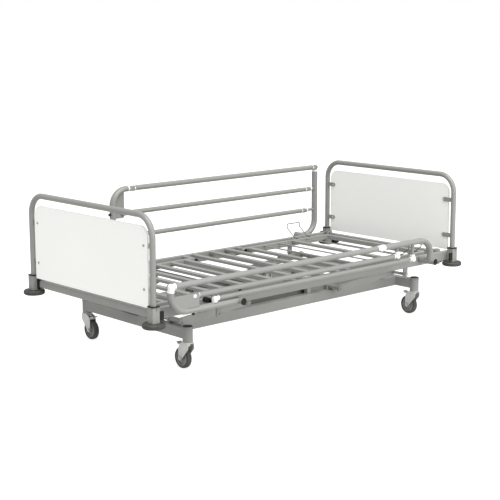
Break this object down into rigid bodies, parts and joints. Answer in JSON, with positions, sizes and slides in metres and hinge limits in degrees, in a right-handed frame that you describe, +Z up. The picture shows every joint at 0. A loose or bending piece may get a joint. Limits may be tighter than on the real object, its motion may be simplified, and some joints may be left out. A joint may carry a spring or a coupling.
{
  "type": "adjustable hospital bed",
  "caption": "Height adjustable hospital bed with a four-section slatted platform, lift-out end boards, folding three-bar side rails and braked swivel casters.",
  "frame": {"origin": "on the floor, under the middle of the bed", "axes": "+X towards the head end, +Y away from the near side rail, +Z up"},
  "size_m": [2.187, 1.124, 0.764],
  "materials": {
    "powder_coat": "satin light grey powder coat",
    "panel_laminate": "off-white laminate",
    "white_plastic": "smooth white",
    "black_plastic": "black",
    "bumper_plastic": "dark grey",
    "fork_steel": "zinc plated",
    "bright_steel": "bright",
    "hub_plastic": "mid grey",
    "tyre_rubber": "dark grey",
    "drive_plastic": "dark grey housing"
  },
  "bodies": {
    "base": {"base_frame": "powder_coat", "stem_plugs": "black_plastic", "lift_gearbox": "drive_plastic"},
    "foot_lift": {"foot_lift_frame": "powder_coat"},
    "head_lift": {"head_lift_frame": "powder_coat"},
    "deck": {"deck_frame": "powder_coat", "deck_lugs": "powder_coat", "deck_pins": "bright_steel", "corner_sockets": "powder_coat", "socket_collars": "black_plastic", "backrest_drive": "drive_plastic", "thigh_drive": "drive_plastic"},
    "backrest": {"backrest_section": "powder_coat", "mattress_retainers": "bright_steel"},
    "thigh": {"thigh_section": "powder_coat"},
    "foot_rest": {"foot_section": "powder_coat"},
    "backrest_rod": {"backrest_drive_rod": "bright_steel"},
    "thigh_rod": {"thigh_drive_rod": "bright_steel"},
    "head_board": {"head_board_tube": "powder_coat", "head_board_panel": "panel_laminate", "head_board_screws": "bright_steel"},
    "foot_board": {"foot_board_tube": "powder_coat", "foot_board_panel": "panel_laminate", "foot_board_screws": "bright_steel"},
    "near_bow": {"near_rail_bow": "powder_coat", "near_rail_bow_joints": "white_plastic"},
    "near_post": {"near_rail_post": "powder_coat", "near_rail_post_joints": "white_plastic"},
    "near_button": {"near_rail_button": "black_plastic"},
    "near_top_bar": {"near_rail_top_bar": "powder_coat"},
    "near_mid_bar": {"near_rail_mid_bar": "powder_coat"},
    "near_low_bar": {"near_rail_low_bar": "powder_coat"},
    "far_bow": {"far_rail_bow": "powder_coat", "far_rail_bow_joints": "white_plastic"},
    "far_post": {"far_rail_post": "powder_coat", "far_rail_post_joints": "white_plastic"},
    "far_button": {"far_rail_button": "black_plastic"},
    "far_top_bar": {"far_rail_top_bar": "powder_coat"},
    "far_mid_bar": {"far_rail_mid_bar": "powder_coat"},
    "far_low_bar": {"far_rail_low_bar": "powder_coat"},
    "caster_foot_near": {"caster_fork_foot_near": "fork_steel"},
    "wheel_foot_near": {"caster_wheel_foot_near": "hub_plastic", "caster_tyre_foot_near": "tyre_rubber"},
    "pedal_foot_near": {"caster_pedal_foot_near": "fork_steel"},
    "bumper_foot_near": {"bumper_foot_near": "bumper_plastic"},
    "caster_foot_far": {"caster_fork_foot_far": "fork_steel"},
    "wheel_foot_far": {"caster_wheel_foot_far": "hub_plastic", "caster_tyre_foot_far": "tyre_rubber"},
    "pedal_foot_far": {"caster_pedal_foot_far": "fork_steel"},
    "bumper_foot_far": {"bumper_foot_far": "bumper_plastic"},
    "caster_head_near": {"caster_fork_head_near": "fork_steel"},
    "wheel_head_near": {"caster_wheel_head_near": "hub_plastic", "caster_tyre_head_near": "tyre_rubber"},
    "pedal_head_near": {"caster_pedal_head_near": "fork_steel"},
    "bumper_head_near": {"bumper_head_near": "bumper_plastic"},
    "caster_head_far": {"caster_fork_head_far": "fork_steel"},
    "wheel_head_far": {"caster_wheel_head_far": "hub_plastic", "caster_tyre_head_far": "tyre_rubber"},
    "pedal_head_far": {"caster_pedal_head_far": "fork_steel"},
    "bumper_head_far": {"bumper_head_far": "bumper_plastic"}
  },
  "joints": [
    {"name": "lift", "type": "hinge", "parent": "base", "child": "foot_lift", "pos_m": [-0.775, 0, 0.217], "axis": [0, -1, 0], "range_deg": [0, 63]},
    {"name": "deck_level", "type": "hinge", "parent": "foot_lift", "child": "deck", "pos_m": [-0.375, 0, 0.247], "axis": [0, 1, 0], "range_deg": [0, 63]},
    {"name": "head_lift", "type": "hinge", "parent": "base", "child": "head_lift", "pos_m": [0.29, 0, 0.217], "axis": [0, -1, 0], "range_deg": [0, 63]},
    {"name": "backrest_tilt", "type": "hinge", "parent": "deck", "child": "backrest", "pos_m": [0.268, 0, 0.3205], "axis": [0, -1, 0], "range_deg": [0, 70]},
    {"name": "backrest_rod_travel", "type": "slide", "parent": "deck", "child": "backrest_rod", "axis": [1, 0, 0], "range_m": [0, 0.1148]},
    {"name": "thigh_tilt", "type": "hinge", "parent": "deck", "child": "thigh", "pos_m": [-0.12, 0, 0.3205], "axis": [0, 1, 0], "range_deg": [0, 35]},
    {"name": "thigh_rod_travel", "type": "slide", "parent": "deck", "child": "thigh_rod", "axis": [-1, 0, 0], "range_m": [0, 0.0602]},
    {"name": "knee", "type": "hinge", "parent": "thigh", "child": "foot_rest", "pos_m": [-0.45, 0, 0.3205], "axis": [0, -1, 0], "range_deg": [0, 56]},
    {"name": "head_board_lift_out", "type": "slide", "parent": "deck", "child": "head_board", "axis": [0, 0, 1], "range_m": [0, 0.07]},
    {"name": "foot_board_lift_out", "type": "slide", "parent": "deck", "child": "foot_board", "axis": [0, 0, 1], "range_m": [0, 0.07]},
    {"name": "near_rail_fold", "type": "hinge", "parent": "deck", "child": "near_bow", "pos_m": [-0.585, -0.525, 0.3165], "axis": [0, 1, 0], "range_deg": [0, 90]},
    {"name": "near_rail_post_fold", "type": "hinge", "parent": "deck", "child": "near_post", "pos_m": [0.7915, -0.525, 0.3165], "axis": [0, 1, 0], "range_deg": [0, 90]},
    {"name": "near_top_bar_pivot", "type": "hinge", "parent": "near_bow", "child": "near_top_bar", "pos_m": [-0.984, -0.525, 0.4365], "axis": [0, -1, 0], "range_deg": [0, 90]},
    {"name": "near_mid_bar_pivot", "type": "hinge", "parent": "near_bow", "child": "near_mid_bar", "pos_m": [-0.857, -0.525, 0.3795], "axis": [0, -1, 0], "range_deg": [0, 90]},
    {"name": "near_low_bar_pivot", "type": "hinge", "parent": "near_bow", "child": "near_low_bar", "pos_m": [-0.732, -0.525, 0.3475], "axis": [0, -1, 0], "range_deg": [0, 90]},
    {"name": "near_rail_release", "type": "slide", "parent": "near_bow", "child": "near_button", "axis": [0, 0, 1], "range_m": [0, 0.004], "stiffness_N_per_m": 500},
    {"name": "far_rail_fold", "type": "hinge", "parent": "deck", "child": "far_bow", "pos_m": [-0.517, 0.525, 0.3165], "axis": [0, -1, 0], "range_deg": [0, 90]},
    {"name": "far_rail_post_fold", "type": "hinge", "parent": "deck", "child": "far_post", "pos_m": [0.8595, 0.525, 0.3165], "axis": [0, -1, 0], "range_deg": [0, 90]},
    {"name": "far_top_bar_pivot", "type": "hinge", "parent": "far_bow", "child": "far_top_bar", "pos_m": [-0.397, 0.525, 0.7155], "axis": [0, 1, 0], "range_deg": [0, 90]},
    {"name": "far_mid_bar_pivot", "type": "hinge", "parent": "far_bow", "child": "far_mid_bar", "pos_m": [-0.454, 0.525, 0.5885], "axis": [0, 1, 0], "range_deg": [0, 90]},
    {"name": "far_low_bar_pivot", "type": "hinge", "parent": "far_bow", "child": "far_low_bar", "pos_m": [-0.486, 0.525, 0.4635], "axis": [0, 1, 0], "range_deg": [0, 90]},
    {"name": "far_rail_release", "type": "slide", "parent": "far_bow", "child": "far_button", "axis": [1, 0, 0], "range_m": [0, 0.004], "stiffness_N_per_m": 500},
    {"name": "swivel_foot_near", "type": "hinge", "parent": "base", "child": "caster_foot_near", "pos_m": [-0.783, -0.3957, 0.127], "axis": [0, 0, 1], "continuous": true},
    {"name": "wheel_spin_foot_near", "type": "hinge", "parent": "caster_foot_near", "child": "wheel_foot_near", "pos_m": [-0.783, -0.3617, 0.05], "axis": [1, 0, 0], "continuous": true},
    {"name": "brake_pedal_foot_near", "type": "hinge", "parent": "caster_foot_near", "child": "pedal_foot_near", "pos_m": [-0.783, -0.3717, 0.11], "axis": [-1, 0, 0], "range_deg": [0, 12]},
    {"name": "bumper_turn_foot_near", "type": "hinge", "parent": "deck", "child": "bumper_foot_near", "pos_m": [-1.041, -0.475, 0.265], "axis": [0, 0, 1], "continuous": true},
    {"name": "swivel_foot_far", "type": "hinge", "parent": "base", "child": "caster_foot_far", "pos_m": [-0.783, 0.3957, 0.127], "axis": [0, 0, 1], "continuous": true},
    {"name": "wheel_spin_foot_far", "type": "hinge", "parent": "caster_foot_far", "child": "wheel_foot_far", "pos_m": [-0.783, 0.3617, 0.05], "axis": [1, 0, 0], "continuous": true},
    {"name": "brake_pedal_foot_far", "type": "hinge", "parent": "caster_foot_far", "child": "pedal_foot_far", "pos_m": [-0.783, 0.3717, 0.11], "axis": [1, 0, 0], "range_deg": [0, 12]},
    {"name": "bumper_turn_foot_far", "type": "hinge", "parent": "deck", "child": "bumper_foot_far", "pos_m": [-1.041, 0.475, 0.265], "axis": [0, 0, 1], "continuous": true},
    {"name": "swivel_head_near", "type": "hinge", "parent": "base", "child": "caster_head_near", "pos_m": [0.8204, -0.3957, 0.127], "axis": [0, 0, 1], "continuous": true},
    {"name": "wheel_spin_head_near", "type": "hinge", "parent": "caster_head_near", "child": "wheel_head_near", "pos_m": [0.8204, -0.3617, 0.05], "axis": [1, 0, 0], "continuous": true},
    {"name": "brake_pedal_head_near", "type": "hinge", "parent": "caster_head_near", "child": "pedal_head_near", "pos_m": [0.8204, -0.3717, 0.11], "axis": [-1, 0, 0], "range_deg": [0, 12]},
    {"name": "bumper_turn_head_near", "type": "hinge", "parent": "deck", "child": "bumper_head_near", "pos_m": [1.041, -0.475, 0.265], "axis": [0, 0, 1], "continuous": true},
    {"name": "swivel_head_far", "type": "hinge", "parent": "base", "child": "caster_head_far", "pos_m": [0.8204, 0.3957, 0.127], "axis": [0, 0, 1], "continuous": true},
    {"name": "wheel_spin_head_far", "type": "hinge", "parent": "caster_head_far", "child": "wheel_head_far", "pos_m": [0.8204, 0.3617, 0.05], "axis": [1, 0, 0], "continuous": true},
    {"name": "brake_pedal_head_far", "type": "hinge", "parent": "caster_head_far", "child": "pedal_head_far", "pos_m": [0.8204, 0.3717, 0.11], "axis": [1, 0, 0], "range_deg": [0, 12]},
    {"name": "bumper_turn_head_far", "type": "hinge", "parent": "deck", "child": "bumper_head_far", "pos_m": [1.041, 0.475, 0.265], "axis": [0, 0, 1], "continuous": true}
  ],
  "couplings": [
    {"joint": "deck_level", "follows": "lift", "ratio": 1},
    {"joint": "head_lift", "follows": "lift", "ratio": 1},
    {"joint": "backrest_rod_travel", "follows": "backrest_tilt", "m_per_rad": 0.0939},
    {"joint": "thigh_rod_travel", "follows": "thigh_tilt", "m_per_rad": 0.09845},
    {"joint": "knee", "follows": "thigh_tilt", "ratio": 1.6},
    {"joint": "near_rail_post_fold", "follows": "near_rail_fold", "ratio": 1},
    {"joint": "near_top_bar_pivot", "follows": "near_rail_fold", "ratio": 1},
    {"joint": "near_mid_bar_pivot", "follows": "near_rail_fold", "ratio": 1},
    {"joint": "near_low_bar_pivot", "follows": "near_rail_fold", "ratio": 1},
    {"joint": "far_rail_post_fold", "follows": "far_rail_fold", "ratio": 1},
    {"joint": "far_top_bar_pivot", "follows": "far_rail_fold", "ratio": 1},
    {"joint": "far_mid_bar_pivot", "follows": "far_rail_fold", "ratio": 1},
    {"joint": "far_low_bar_pivot", "follows": "far_rail_fold", "ratio": 1}
  ]
}
